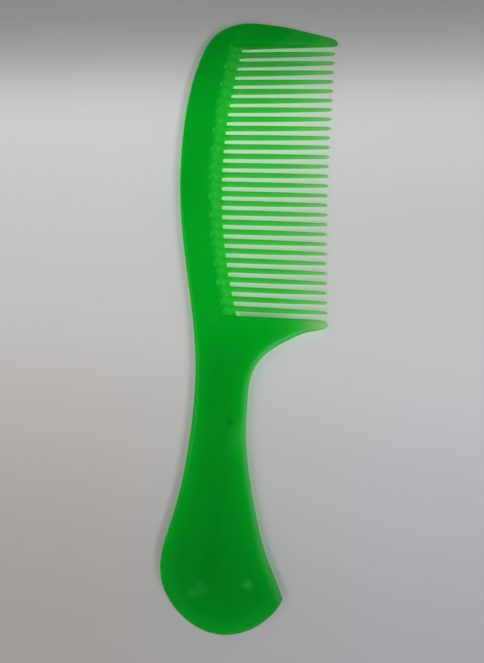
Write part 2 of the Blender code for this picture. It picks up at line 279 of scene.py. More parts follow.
# Grids of places over the plan. Each is rows by columns, and neighbours share their border places. The
# places lie closer together at the rims and round the recess that the gate left in the neck.
rim_steps = np.array([0.0, 0.035, 0.11, 0.22, 0.37, 0.55, 0.75, 1.0])
inner_count = 8
inner_reach = 4.3
inner_power = 1.2
inner_steps = inner_reach * (np.arange(1, inner_count + 1) / inner_count) ** inner_power
root_reach = 4.8
root_steps = np.linspace(0, root_reach, len(rim_steps) + inner_count)
handle_steps = np.concatenate([rim_steps, rim_steps[-1] + inner_steps])
middle_columns = 14
neck_rows = 12
gate_place = (-3.2, -34.63)
gate_radius = 1.0
gate_depth = 0.4
gate_row_reach = 9.0
gate_gather = 1.9


def spread(low, high, middle_count, rims_room=2.4):
    """Places from low to high, as one more axis: close together at both rims, even between them. Where
    low and high lie less than the rims' room apart, the rims are squeezed alike."""
    low, high = np.asarray(low, float)[..., None], np.asarray(high, float)[..., None]
    squeeze = np.minimum(1, (high - low) / (rims_room * rim_steps[-1]))
    steps = rim_steps * squeeze
    inner = np.arange(1, middle_count + 1) / (middle_count + 1)
    start, stop = low + steps[..., -1:], high - steps[..., -1:]
    return np.concatenate([low + steps, start + (stop - start) * inner, high - steps[..., ::-1]], axis=-1)


gap_lines = np.array([-0.75, -0.70, -0.60, -0.40, 0.0, 0.40, 0.60, 0.70])
tooth_lines = np.array([-1.0, -0.86, -0.66, -0.36, 0.0, 0.36, 0.66, 0.86, 1.0])
period = np.concatenate([gap_half + gap_lines, 2 * gap_half + tooth_half * (1 + tooth_lines[:-1])])
row_ys = (row_foot + tooth_pitch * np.arange(tooth_count)[:, None] + period).ravel()
row_ys = np.concatenate([row_ys, row_top - gap_half + gap_lines, [row_top]])
below_gate = np.linspace(paddle_corner[1], -37.3, 50)
over_gate = np.linspace(-36.6, -32.8, 20)
above_gate = np.linspace(-32.0, -13.6, 19)
handle_ys = np.concatenate([below_gate, over_gate, above_gate])
neck_ys = spread(neck_mouth[1], row_foot, neck_rows)
trunk_ys = np.concatenate([handle_ys, neck_ys[:-1], row_ys])

spine_xs = np.interp(trunk_ys, spine_line[:, 1], spine_line[:, 0])
neck_share = np.clip((trunk_ys - neck_mouth[1]) / (row_foot - neck_mouth[1]), 0, 1)
row_start_x = gap_end_x(np.array(row_foot))
neck_xs = neck_mouth[0] + (row_start_x - neck_mouth[0]) * neck_share
handle_xs = np.interp(trunk_ys, handle_line[:, 1], handle_line[:, 0])
right_xs = np.where(trunk_ys < row_foot, neck_xs, gap_end_x(trunk_ys))
right_xs = np.where(trunk_ys < neck_mouth[1], handle_xs, right_xs)
stretch = np.where(trunk_ys < row_foot, 1, 1 + (right_xs - root_x(trunk_ys)) / root_steps[-1])
near_steps = handle_steps * (1 - neck_share[:, None]) + root_steps * neck_share[:, None]
near_steps = near_steps * stretch[:, None]
left_part = spine_xs[:, None] + rim_steps
right_part = right_xs[:, None] - near_steps[:, ::-1]
even = np.arange(1, middle_columns + 1) / (middle_columns + 1)
middle_start, middle_stop = left_part[:, -1:], right_part[:, :1]
gate_share = (gate_place[0] - middle_start) / (middle_stop - middle_start)
gate_rows = np.exp(-(((trunk_ys - gate_place[1]) / gate_row_reach) ** 2))[:, None]
from_gate_share = even - gate_share
side_share = np.where(from_gate_share > 0, 1 - gate_share, gate_share)
drawn_in = np.abs(from_gate_share) ** gate_gather / side_share ** (gate_gather - 1)
gathered = gate_share + np.sign(from_gate_share) * drawn_in
middle_share = even + (gathered - even) * gate_rows
middle_part = middle_start + (middle_stop - middle_start) * middle_share
trunk_x = np.concatenate([left_part, middle_part, right_part], axis=1)
trunk_y = np.repeat(trunk_ys[:, None], trunk_x.shape[1], axis=1)

end_x = trunk_x[0]
end_curve = end_line[np.argsort(end_line[:, 0])]
end_low = np.interp(end_x, end_curve[:, 0], end_curve[:, 1])
paddle_rows = 12
corner_rows = 3
paddle_y = spread(end_low, np.full_like(end_low, paddle_corner[1]), paddle_rows)
paddle_y = paddle_y[:, : len(rim_steps) + paddle_rows]
last_rows = (paddle_corner[1] - paddle_y[:, -1:]) * np.linspace(0, 1, corner_rows + 1)[1:]
paddle_y = np.concatenate([paddle_y, paddle_y[:, -1:] + last_rows], axis=1).T
paddle_x = np.repeat(end_x[None, :], len(paddle_y), axis=0)

# The horn's columns crowd towards its nose, where its two sides meet and its depth is next to nothing.
tiny = 1e-9
horn_steps = 44
horn_crowding = 0.9
horn_columns = np.sin(np.linspace(0, 1, horn_steps) * math.pi / 2) ** horn_crowding
horn_top_line = np.vstack([[row_start_x, row_foot], smooth_line(horn_top_knots)])
horn_low_x, horn_low_y = along(horn_under_line, horn_columns)
horn_high_x, horn_high_y = along(horn_top_line, horn_columns)
horn_depth = np.hypot(horn_high_x - horn_low_x, horn_high_y - horn_low_y)
horn_share = spread(np.zeros_like(horn_depth), horn_depth, neck_rows)
horn_share = horn_share / np.maximum(horn_depth, tiny)[:, None]
horn_share[0] = (neck_ys - neck_mouth[1]) / (row_foot - neck_mouth[1])
horn_share[-1] = 0
horn_x = (horn_low_x[:, None] + (horn_high_x - horn_low_x)[:, None] * horn_share).T
horn_y = (horn_low_y[:, None] + (horn_high_y - horn_low_y)[:, None] * horn_share).T

# The top guard's columns stand upright as far as its turn, and follow both its sides round the nose.
guard_turn = 21.0
guard_steps = 30
guard_rows = 10
nose_steps = 16
guard_start_x = float(gap_end_x(np.array(row_top)))
guard_even = np.linspace(guard_start_x, guard_turn, guard_steps)[1:]
foot_end = np.vstack([[guard_turn, row_top], smooth_line(guard_foot_knots)])
guard_foot_line = np.vstack([[guard_start_x, row_top], foot_end])
crown_by_x = top_line[np.argsort(top_line[:, 0])]
nose_start_y = float(np.interp(guard_turn, crown_by_x[:, 0], crown_by_x[:, 1]))
crown_nose = np.vstack([[guard_turn, nose_start_y], crown_line[crown_x > guard_turn][::-1]])
nose_shares = np.sin(np.linspace(0, 1, nose_steps)[1:] * math.pi / 2)
foot_nose_x, foot_nose_y = along(foot_end, nose_shares)
crown_nose_x, crown_nose_y = along(crown_nose, nose_shares)
flat_x = np.concatenate([trunk_x[-1], guard_even])
low_x = np.concatenate([flat_x, foot_nose_x])
low_y = np.concatenate([np.full_like(flat_x, row_top), foot_nose_y])
high_x = np.concatenate([flat_x, crown_nose_x])
high_y = np.concatenate([np.interp(flat_x, crown_by_x[:, 0], crown_by_x[:, 1]), crown_nose_y])
high_y[0], high_y[-1] = low_y[0], low_y[-1]
guard_depth = np.hypot(high_x - low_x, high_y - low_y)
guard_share = spread(np.zeros_like(guard_depth), guard_depth, guard_rows)
guard_share = guard_share / np.maximum(guard_depth, tiny)[:, None]
guard_share[0] = 0
guard_share[-1] = 0
guard_x = (low_x[:, None] + (high_x - low_x)[:, None] * guard_share).T
guard_y = (low_y[:, None] + (high_y - low_y)[:, None] * guard_share).T

# Teeth: one grid for each, from the trunk's edge to the tip. A tooth narrows a little, thins towards
# its tip and ends in a small round nose.
cap_start = 0.952
tooth_taper = 0.40
taper_start, taper_run, taper_power = 0.3, 0.65, 1.6
tooth_thinning = 0.40
thinning_power = 1.2
tooth_edge_half = 0.14
tooth_oval_power = 2.3
root_end = 0.02
root_run = 0.06
ridge_run = 0.25
ridge_softening = 0.3
nose_least = 0.3
straight_steps, cap_steps = 17, 12
root_columns = [0, 0.008, root_end, 0.036]
straight_columns = np.linspace(root_run, cap_start, straight_steps)[:-1]
cap_columns = cap_start + (1 - cap_start) * np.sin(np.linspace(0, 1, cap_steps) * math.pi / 2)
tooth_columns = np.concatenate([root_columns, straight_columns, cap_columns])
tooth_ys = first_tooth + tooth_pitch * np.arange(tooth_count)
line_y = tooth_ys[:, None] + tooth_half * tooth_lines
line_start = root_x(line_y) + gap_end_radius
tooth_t = np.broadcast_to(tooth_columns[None, :, None], (tooth_count, len(tooth_columns), len(tooth_lines)))
tooth_s = np.broadcast_to(tooth_lines, tooth_t.shape)
tooth_x = line_start[:, None, :] + tooth_t * (tip_x(tooth_ys)[:, None, None] - line_start[:, None, :])
cap = np.sqrt(np.clip(1 - np.clip((tooth_t - cap_start) / (1 - cap_start), 0, 1) ** 2, 0, 1))
taper = np.clip((tooth_t - taper_start) / taper_run, 0, 1) ** taper_power
width = tooth_half * (1 - tooth_taper * taper) * cap
tooth_y = tooth_ys[:, None, None] + tooth_s * width
softness = ridge_round + ridge_softening * soft_step(tooth_t, 0, ridge_run)
ridge = (scallop_hollow - ridge_fade) * ridge_offset(tooth_half * np.abs(tooth_s), softness) ** 2
ridge_raw = (tooth_plane + ridge) * (1 - tooth_thinning * tooth_t**thinning_power)
tooth_edge = (1 - np.abs(tooth_s)) * width
tooth_edge = np.where(tooth_t < root_end, slot_distance(tooth_x, tooth_y), tooth_edge)
out_of_root = soft_step(tooth_t, 0, root_run)
flat_topped = round_over(tooth_edge, gap_rim_radius)
oval = np.sqrt(1 - np.abs(tooth_s) ** tooth_oval_power)
tooth_share = flat_topped + (oval - flat_topped) * out_of_root
tooth_share = tooth_share * (nose_least + (1 - nose_least) * np.sqrt(cap))
tooth_rim_half = edge_half + (tooth_edge_half - edge_half) * out_of_root
tooth_h = tooth_rim_half + (ridge_raw - tooth_rim_half) * tooth_share

# Half thickness of the other patches, and their distance from the nearest gap. The guard's foot is
# rounded over further than a gap, from just past its root on.
far_from_gaps = 9.0
foot_rounding = 1.1
foot_rounding_run = 3.5
trunk_gap = slot_distance(trunk_x, trunk_y)
trunk_h = body_half(trunk_x, trunk_y, trunk_gap)
paddle_h = body_half(paddle_x, paddle_y, np.full_like(paddle_x, far_from_gaps))
horn_thinner = guard_share_left(horn_x, horn_root_x, horn_nose[0], horn_tip_share)
horn_gap = distance_to(horn_top_line, horn_x, horn_y)
horn_h = body_half(horn_x, horn_y, horn_gap, horn_thinner)
guard_thinner = guard_share_left(guard_x, guard_root_x, guard_nose[0], guard_tip_share)
from_foot = distance_to(guard_foot_line, guard_x, guard_y)
guard_gap = np.where(guard_x > guard_start_x, from_foot, slot_distance(guard_x, guard_y))
past_root = soft_step(guard_x, guard_start_x, guard_start_x + foot_rounding_run)
guard_h = body_half(guard_x, guard_y, guard_gap, guard_thinner, gap_rim_radius + foot_rounding * past_root)

# The patches are laid into one sheet, their shared places merged, and the sheet is doubled into two
# faces with a wall round every edge. Each patch gives its places, half thickness, paleness and distance
# from the nearest edge. The guards and teeth grow pale towards their tips, where they are thin.
horn_pale_places = (8.0, 14.0, 17.0, 19.0, 21.0, 23.0, 26.5)
horn_pale_shares = (0.0, 0.025, 0.075, 0.2, 0.48, 0.82, 1.0)
guard_pale_share, guard_pale_run = 0.15, (14, 25)
root_pale_share, tip_pale_share, tooth_pale_power = 0.1, 0.78, 3.5
horn_pale = np.interp(horn_x, horn_pale_places, horn_pale_shares)
guard_pale = guard_pale_share * soft_step(guard_x, *guard_pale_run)
tooth_pale = root_pale_share + (tip_pale_share - root_pale_share) * tooth_t**tooth_pale_power
trunk_edge = np.minimum(distance_to(edge_line, trunk_x, trunk_y), trunk_gap)
paddle_edge = distance_to(edge_line, paddle_x, paddle_y)
horn_edge = np.minimum(distance_to(edge_line, horn_x, horn_y), horn_gap)
guard_edge = np.minimum(distance_to(edge_line, guard_x, guard_y), guard_gap)
patches = [
    (paddle_x, paddle_y, paddle_h, np.zeros_like(paddle_x), paddle_edge),
    (trunk_x, trunk_y, trunk_h, np.zeros_like(trunk_x), trunk_edge),
    (horn_x, horn_y, horn_h, horn_pale, horn_edge),
    (guard_x, guard_y, guard_h, guard_pale, guard_edge),
]
patches += zip(tooth_x, tooth_y, tooth_h, tooth_pale, tooth_edge)
places_per_mm = 5000
least_area = 1e-9
places = np.concatenate([np.stack([column.ravel() for column in patch], axis=1) for patch in patches])
key = np.round(places[:, :2] * places_per_mm).astype(np.int64)
_, first, merged = np.unique(key, axis=0, return_index=True, return_inverse=True)
merged = merged.ravel()
sheet = places[first]
triangles = []
base = 0
for patch in patches:
    rows, columns = patch[0].shape
    index = base + np.arange(rows * columns).reshape(rows, columns)
    corner, right, up, far = index[:-1, :-1], index[:-1, 1:], index[1:, :-1], index[1:, 1:]
    triangles.append(np.stack([corner, right, far], axis=-1).reshape(-1, 3))
    triangles.append(np.stack([corner, far, up], axis=-1).reshape(-1, 3))
    base += rows * columns
triangles = merged[np.concatenate(triangles)]
triangles = triangles[(triangles != np.roll(triangles, 1, axis=1)).all(axis=1)]
side_a = sheet[triangles[:, 1], :2] - sheet[triangles[:, 0], :2]
side_b = sheet[triangles[:, 2], :2] - sheet[triangles[:, 0], :2]
area = side_a[:, 0] * side_b[:, 1] - side_a[:, 1] * side_b[:, 0]
triangles = np.where(area[:, None] > 0, triangles, triangles[:, ::-1])
triangles = triangles[np.abs(area) > least_area]

# An edge that only one triangle uses is a rim. There a wall of one quad joins the two faces.
count = len(sheet)
edges = np.concatenate([triangles[:, [0, 1]], triangles[:, [1, 2]], triangles[:, [2, 0]]])
there, back = edges[:, 0] * count + edges[:, 1], edges[:, 1] * count + edges[:, 0]
rim_edges = edges[~np.isin(there, back)]
wall_a, wall_b = rim_edges.T
walls = np.stack([wall_b, wall_a, wall_a + count, wall_b + count], axis=1)
sheet_x, sheet_y, sheet_half, sheet_pale, sheet_edge = sheet.T

# The gate recess is a shallow dish with a soft edge, in the upper face only.
dish_edge = (0.45, 1.25)
from_gate = np.hypot(sheet_x - gate_place[0], sheet_y - gate_place[1]) / gate_radius
gate_dip = gate_depth * (1 - soft_step(from_gate, *dish_edge))

# The upper half of the row was moulded a little high: its drift grows up the row, is largest at the last
# gap, and dies out in the guard and in the back.
drift_places = (28.0, 44.0, 60.0, 93.0, 94.65, 98.5)
drift_sizes = (0.0, 0.14, 0.27, 0.27, 0.5, 0.0)
drift_fade = (-22, -14)
moulded_y = sheet_y + np.interp(sheet_y, drift_places, drift_sizes) * soft_step(sheet_x, *drift_fade)
upper_face = np.stack([sheet_x, moulded_y, middle_z + sheet_half - gate_dip], axis=1)
lower_face = np.stack([sheet_x, moulded_y, middle_z - sheet_half], axis=1)
vertices = np.concatenate([upper_face, lower_face]) * MM

comb_mesh = bpy.data.meshes.new("comb")
comb_mesh.from_pydata(
    vertices.tolist(), [], triangles.tolist() + (triangles[:, ::-1] + count).tolist() + walls.tolist()
)
comb_mesh.polygons.foreach_set("use_smooth", np.ones(len(comb_mesh.polygons), bool))


def add_shares(name, shares):
    """A value for each vertex, the same on both faces of the sheet unless it is given for both."""
    shares = shares if len(shares) == 2 * count else np.tile(shares, 2)
    comb_mesh.attributes.new(name, "FLOAT", "POINT").data.foreach_set("value", shares.astype(np.float32))


def closeness(distance, reach):
    """1 on a line, falling evenly to 0 at the reach from it."""
    return np.clip(1 - distance / reach, 0, 1)


def bell(value, middle, width):
    """1 at the middle, falling off on both sides: the exponential of minus the square of the distance,
    which is measured in widths."""
    return np.exp(-(((value - middle) / width) ** 2))


def stretch_of(value, rise, fall):
    """1 over a stretch: a soft step over its rise, times one less a soft step over its fall."""
    return soft_step(value, *rise) * (1 - soft_step(value, *fall))


# Colour, painted light and painted shade change over the comb, so the sheet carries shares that the
# material reads. They are worked out from distances to the lines of the plan and from the heights along the
# comb.
level_slack = 0.01
down = -sheet_y
under_row = sheet_y < row_foot + level_slack
over_row = sheet_y > row_top - level_slack
from_crown, from_inside, from_rim, from_fillet, from_guard_foot, from_horn_top = [
    distance_to(line, sheet_x, sheet_y)
    for line in (crown_line, inside_line, edge_line, horn_under_line, guard_foot_line, horn_top_line)
]
into_scoop = into_scallop(sheet_x, sheet_y)
in_scallops = scallop_zone(sheet_x, sheet_y)
scoop_share = scallop(sheet_x, sheet_y, np.full(count, full_half)) / (full_half - tooth_plane)

# Tone: how much of its full green a place shows. The thick handle is deeper in colour than its rims. The
# head, the neck and the foot of the paddle get painted shade, where they lie in less light, and so does the
# rim round the paddle's foot.
handle_fade = (-22, 4)
rim_bulk, rim_bulk_run = 0.21, (0.5, 7)
core_bulk, core_bulk_run = 0.09, (7, 20)
head_shade, head_run = 0.42, (66, 104)
neck_shade, neck_run = 0.10, (0, 40)
paddle_shade, paddle_run = 0.20, (35, 100)
paddle_rim_shade, paddle_foot_run, paddle_rim_run = 0.07, (86, 92), (1, 4)
in_handle = 1 - soft_step(sheet_y, *handle_fade)
bulk = rim_bulk * soft_step(sheet_edge, *rim_bulk_run) + core_bulk * soft_step(sheet_edge, *core_bulk_run)
bulk_fall = bulk * in_handle
head_fall = head_shade * soft_step(sheet_y, *head_run)
foot_fall = neck_shade * soft_step(down, *neck_run) + paddle_shade * soft_step(down, *paddle_run)
paddle_foot = soft_step(down, *paddle_foot_run)
paddle_rim_fall = paddle_rim_shade * paddle_foot * (1 - soft_step(sheet_edge, *paddle_rim_run))

# Smaller falls of tone, all painted shade: along the foot of the top guard, on its nose, in the gate
# recess, along the ridges between the scallops and at the gap ends. A line is given by its distance from an
# edge and its width.
guard_shade, guard_shade_line, guard_shade_run = 0.1, (0.6, 0.5), (2, 12)
nose_shade, nose_run, nose_reach = 0.2, (20, 25), 5
gate_shade, gate_shade_reach = 0.14, 1.6
ridge_shade, ridge_width, ridge_start = 0.12, 0.3, (0.05, 0.4)
gap_end_shade, gap_end_run = 0.07, (0.4, 1)
guard_fall = guard_shade * bell(from_guard_foot, *guard_shade_line)
guard_fall = guard_fall * (1 - soft_step(sheet_x, *guard_shade_run))
nose_fall = nose_shade * soft_step(sheet_x, *nose_run) * (from_guard_foot < nose_reach) * over_row
gate_fall = gate_shade * bell(from_gate, 0, gate_shade_reach)
from_ridge = tooth_pitch / 2 - gap_offset(sheet_y)
ridge_fall = ridge_shade * bell(from_ridge, 0, ridge_width) * soft_step(scoop_share, *ridge_start)
gap_end_fall = gap_end_shade * soft_step(into_scoop, *gap_end_run) * in_scallops

# Dark lines of painted shade run where a rim turns away from the light: along the fillet and the guard's
# crown, along the back and neck, round the foot of the paddle, on the horn's upper edge and on the guard's
# foot.
rim_line_depth, rim_line_width = 0.6, 0.7
fillet_part, fillet_run, fillet_floor, guard_room = 0.75, ((3, 11), (22, 26)), -14, 1
back_part, back_run, back_side = 0.85, ((-80, -45), (-5, 45)), -10
paddle_line_depth, paddle_line_width = 0.62, 0.9
horn_line_depth, horn_line_width = 0.16, 0.9
guard_line_depth, guard_line_width, guard_line_start = 0.13, 0.45, 8
on_fillet = fillet_part * stretch_of(sheet_x, *fillet_run) * (sheet_y > fillet_floor)
on_fillet = on_fillet * (from_guard_foot > guard_room)
on_back = back_part * stretch_of(sheet_y, *back_run) * (sheet_x < back_side)
rim_line = rim_line_depth * np.maximum(on_fillet, on_back) * closeness(from_rim, rim_line_width)
paddle_line = paddle_line_depth * paddle_foot * closeness(from_crown, paddle_line_width)
horn_line = horn_line_depth * closeness(from_horn_top, horn_line_width) * under_row
guard_line = guard_line_depth * ((from_guard_foot < guard_line_width) & (sheet_x > guard_line_start))
painted_shade_line = np.max([rim_line, paddle_line, horn_line, guard_line], axis=0)
# Every fall but the bulk is painted shade. The tone multiplies the green.
falls = (
    bulk_fall, head_fall, foot_fall, guard_fall, painted_shade_line, gate_fall, ridge_fall, gap_end_fall, nose_fall,
    paddle_rim_fall,
)
add_shares("tone_and_painted_shade", np.prod([1 - fall for fall in falls], axis=0))

# Scoop: where the plastic is hollowed out to the teeth's plane, partly by its depth and partly evenly
# over the scallops. Pale: where it is thin towards a tip.
depth_part, even_part = 0.35, 0.65
scoop_run = (0.06, 0.5)
last_gap_fade = 0.6
evenly = np.clip(2 * into_scoop - into_scoop**2, 0, 1) * in_scallops
evenly = evenly * (1 - soft_step(sheet_y, row_top - last_gap_fade, row_top))
add_shares("scoop", soft_step(depth_part * scoop_share + even_part * evenly, *scoop_run))
add_shares("pale", sheet_pale)

# Rim: painted light along the inside edge of the handle and fillet, fainter along the crown and the
# paddle's foot, and a painted highlight in a facet on the guard's nose.
low_handle_run = (65, 78)
neck_rim, paddle_rim = 0.85, 0.75
neck_rim_reach, paddle_rim_reach = 2.5, 2.8
neck_rim_power, paddle_rim_power = 2, 1.5
horn_fade = (18, 25)
head_rim, handle_rim, crown_rim_reach = 0.1, 0.22, 1.9
foot_rim_light, foot_rim_reach, foot_rim_run = 0.045, (2.5, 6), (80, 90)
facet_light, facet_width, facet_run = 0.13, 0.7, (93, 95)
facet_place, facet_across, facet_along = (3.6, 95.6), 4.7, 6.6
low_handle = soft_step(down, *low_handle_run)
inside_reach = neck_rim_reach + (paddle_rim_reach - neck_rim_reach) * low_handle
inside_power = neck_rim_power + (paddle_rim_power - neck_rim_power) * low_handle
inside_light = neck_rim + (paddle_rim - neck_rim) * low_handle
inside_rim = inside_light * closeness(from_inside, inside_reach) ** inside_power
inside_rim = inside_rim * (1 - soft_step(sheet_x, *horn_fade))
crown_light = head_rim + (handle_rim - head_rim) * in_handle
crown_rim = crown_light * closeness(from_crown, crown_rim_reach) ** 2
foot_rim = foot_rim_light * (1 - soft_step(from_crown, *foot_rim_reach)) * soft_step(down, *foot_rim_run)
past_facet = facet_across * (sheet_x - facet_place[0]) - facet_along * (sheet_y - facet_place[1])
past_facet = past_facet / math.hypot(facet_across, facet_along)
facet_highlight = facet_light * soft_step(past_facet, 0, facet_width) * soft_step(sheet_y, *facet_run)

# Glint: painted highlights. Bright dashes at two depths in each scallop, whose strength changes from gap to
# gap as a sine, bright streaks beside the dark lines, and a soft painted sheen across the neck.
inner_bright, inner_line, inner_turn = 0.3, (0.07, 0.06), 2.7
outer_bright, outer_line, outer_turn, outer_start = 0.2, (0.55, 0.07), 4.1, 1
dash_fade = (0.4, 1.3)
foot_bright, foot_line, foot_streak_run = 0.12, (0.9, 0.3), ((6, 12), (22, 25))
back_bright, back_line, back_streak_run = 0.22, (1.1, 0.2), ((-60, -40), (25, 45))
fillet_bright, fillet_line, fillet_fade = 0.34, (0.75, 0.3), (12, 20)
sheen_bright, sheen_x, sheen_lean, sheen_width = 0.14, 0.8, 0.45, 3.4
sheen_y, sheen_height = -39, 6.0
gap_number = np.round((sheet_y - first_gap) / tooth_pitch)
inner_change = 1 + np.sin(inner_turn * gap_number)
outer_change = 1 + np.sin(outer_turn * gap_number + outer_start)
dashes = inner_bright * inner_change * bell(into_scoop, *inner_line)
dashes = dashes + outer_bright * outer_change * bell(into_scoop, *outer_line)
dashes = dashes * (1 - soft_step(gap_offset(sheet_y), *dash_fade))
dashes = np.where((sheet_y > row_foot) & (sheet_y < row_top), dashes, 0)
foot_streak = foot_bright * bell(from_guard_foot, *foot_line) * stretch_of(sheet_x, *foot_streak_run)
back_streak = back_bright * bell(from_crown, *back_line) * stretch_of(sheet_y, *back_streak_run)
back_streak = back_streak * (sheet_x < back_side)
fillet_streak = fillet_bright * bell(from_fillet, *fillet_line) * (1 - soft_step(sheet_x, *fillet_fade))
sheen_middle = sheen_x + sheen_lean * (sheet_y - sheen_y)
sheen = sheen_bright * bell(sheet_x, sheen_middle, sheen_width) * bell(sheet_y, sheen_y, sheen_height)
add_shares("painted_glint", np.max([dashes, foot_streak, fillet_streak, back_streak, sheen], axis=0))
# The rim share is painted light: the plastic mixes in a paler green there.
add_shares("rim", np.max([inside_rim, crown_rim, foot_rim, facet_highlight], axis=0))

# Below: a painted glow that the lower face sends down to the table, in place of light passed through the
# plastic. Thin places send most of it, then the rims, the scallops, and the feet of both guards, and the
# upper face sends none.
pale_run, scoop_thinness, scoop_thin_run = (0, 0.1), 0.4, (0.1, 0.6)
guard_foot_thinness, guard_foot_run = 0.35, (2, 4)
horn_top_run = (1.5, 3.5)
rim_glow, rim_light_line = 0.25, (0.7, 0.4)
thick_glow, edge_run = 0.3, (0.02, 0.35)
thinness = np.max([
    soft_step(sheet_pale, *pale_run),
    scoop_thinness * soft_step(scoop_share, *scoop_thin_run),
    guard_foot_thinness * (1 - soft_step(from_guard_foot, *guard_foot_run)),
    (1 - soft_step(from_horn_top, *horn_top_run)) * under_row,
], axis=0)
by_rim = rim_glow * bell(sheet_edge, *rim_light_line) * (1 - thinness)
painted_glow_share = (thick_glow + (1 - thick_glow) * thinness + by_rim) * soft_step(sheet_edge, *edge_run)
add_shares("below", np.concatenate([np.zeros(count), painted_glow_share]))
comb_mesh.update()
comb = bpy.data.objects.new("comb", comb_mesh)
bpy.context.scene.collection.objects.link(comb)


def add_node(material, kind, at, **sockets):
    """A shader node of this kind in the material, with its named sockets set."""
    node = material.node_tree.nodes.new(kind)
    node.location = at
    for name, value in sockets.items():
        node.inputs[name.replace("_", " ")].default_value = value
    return node


def feed(material, sockets, values):
    """Each socket gets a value, or a link from the output of a node."""
    for socket, value in zip(sockets, values):
        if isinstance(value, (tuple, float)):
            socket.default_value = value
        else:
            material.node_tree.links.new(value, socket)


def add_mix(material, at, factor, first, second, blend="MIX"):
    """Two colours mixed by a factor. Each of the three is a value or the output of a node."""
    node = add_node(material, "ShaderNodeMix", at)
    node.data_type = "RGBA"
    node.blend_type = blend
    feed(material, [one for one in node.inputs if one.enabled], (factor, first, second))
    return [one for one in node.outputs if one.enabled][0]


def add_range(material, at, value, start, end, low=0.0, high=1.0):
    """How far a node's output has come from start to end, as a value from low to high."""
    limits = {"From_Min": start, "From_Max": end, "To_Min": low, "To_Max": high}
    node = add_node(material, "ShaderNodeMapRange", at, **limits)
    material.node_tree.links.new(value, node.inputs["Value"])
    return node.outputs["Result"]


deep_green = (0.0002, 0.428, 0.018, 1.0)
scoop_green = (0.018, 0.545, 0.038, 1.0)
tooth_green = (0.036, 0.44, 0.05, 1.0)
tip_green = (0.19, 0.455, 0.15, 1.0)
# Paler greens that the plastic mixes in for the painted rim light and the painted glints.
painted_rim_green = (0.085, 0.505, 0.15, 1.0)
painted_glint_green = (0.08, 0.70, 0.18, 1.0)
horn_green = (0.25, 0.475, 0.21, 1.0)
# Green of the painted glow that the lower face gives off.
painted_glow_green = (0.22, 1.0, 0.24, 1.0)
unlit = (0.0, 0.0, 0.0, 1.0)
plastic = bpy.data.materials.new("comb_plastic")
plastic.use_nodes = True
links = plastic.node_tree.links
shader = plastic.node_tree.nodes["Principled BSDF"]
shader.inputs["IOR"].default_value = 1.5
shader.inputs["Specular IOR Level"].default_value = 0.4
shader.inputs["Subsurface Weight"].default_value = 1.0
shader.inputs["Subsurface Radius"].default_value = (0.25, 1.0, 0.25)
shader.inputs["Subsurface Scale"].default_value = 0.004
shader.inputs["Emission Strength"].default_value = 1.8


def add_share_node(name, at):
    """The node that reads one of the comb's shares."""
    node = add_node(plastic, "ShaderNodeAttribute", at)
    node.attribute_name = name
    return node.outputs["Fac"]


def add_sum(at, operation, *terms):
    """One step of arithmetic in the plastic, on values or the outputs of nodes."""
    node = add_node(plastic, "ShaderNodeMath", at)
    node.operation = operation
    feed(plastic, node.inputs, terms)
    return node.outputs["Value"]


# Colour: deep green where the plastic is thick, paler in the scallops, the teeth and their tips, and
# lighter again with the painted light at the rims and glints.
tooth_stop = 0.08
pale_share = add_share_node("pale", (-1300, -100))
pale_reach = add_range(plastic, (-1100, -350), pale_share, 0.0, root_pale_share)
pale_ramp = add_node(plastic, "ShaderNodeValToRGB", (-1100, -100))
pale_ramp.color_ramp.elements[0].position = tooth_stop
pale_ramp.color_ramp.elements[0].color = tooth_green
pale_ramp.color_ramp.elements[1].position = tip_pale_share
pale_ramp.color_ramp.elements[1].color = tip_green
pale_ramp.color_ramp.elements.new(1.0).color = horn_green
links.new(pale_share, pale_ramp.inputs["Fac"])
body = add_mix(plastic, (-900, 200), add_share_node("scoop", (-1100, 250)), deep_green, scoop_green)
body = add_mix(plastic, (-700, 100), pale_reach, body, pale_ramp.outputs["Color"])
body = add_mix(plastic, (-600, 100), add_share_node("rim", (-800, -100)), body, painted_rim_green)
body = add_mix(plastic, (-450, 100), add_share_node("painted_glint", (-600, -100)), body, painted_glint_green)

# Flow of the melt: broad soft streaks along the comb, a little darker or lighter.
noise_run = (0.3, 0.7)
flow_dark, flow_light = 0.95, 1.04
place = add_node(plastic, "ShaderNodeTexCoord", (-1500, 700))
stretched = add_node(plastic, "ShaderNodeMapping", (-1300, 700), Scale=(1.0, 0.35, 1.0))
flow = add_node(plastic, "ShaderNodeTexNoise", (-1100, 700), Scale=90.0, Detail=3.0, Distortion=0.6)
links.new(place.outputs["Object"], stretched.inputs["Vector"])
links.new(stretched.outputs["Vector"], flow.inputs["Vector"])
flow_level = add_range(plastic, (-900, 700), flow.outputs["Fac"], *noise_run, flow_dark, flow_light)
# The tone share brings the plastic's own depth of colour and the painted shade into the green, times the
# flow.
tone_and_painted_shade = add_sum((-700, 500), "MULTIPLY", add_share_node("tone_and_painted_shade", (-900, 450)), flow_level)
body = add_mix(plastic, (-300, 200), 1.0, body, tone_and_painted_shade, "MULTIPLY")
links.new(body, shader.inputs["Base Color"])

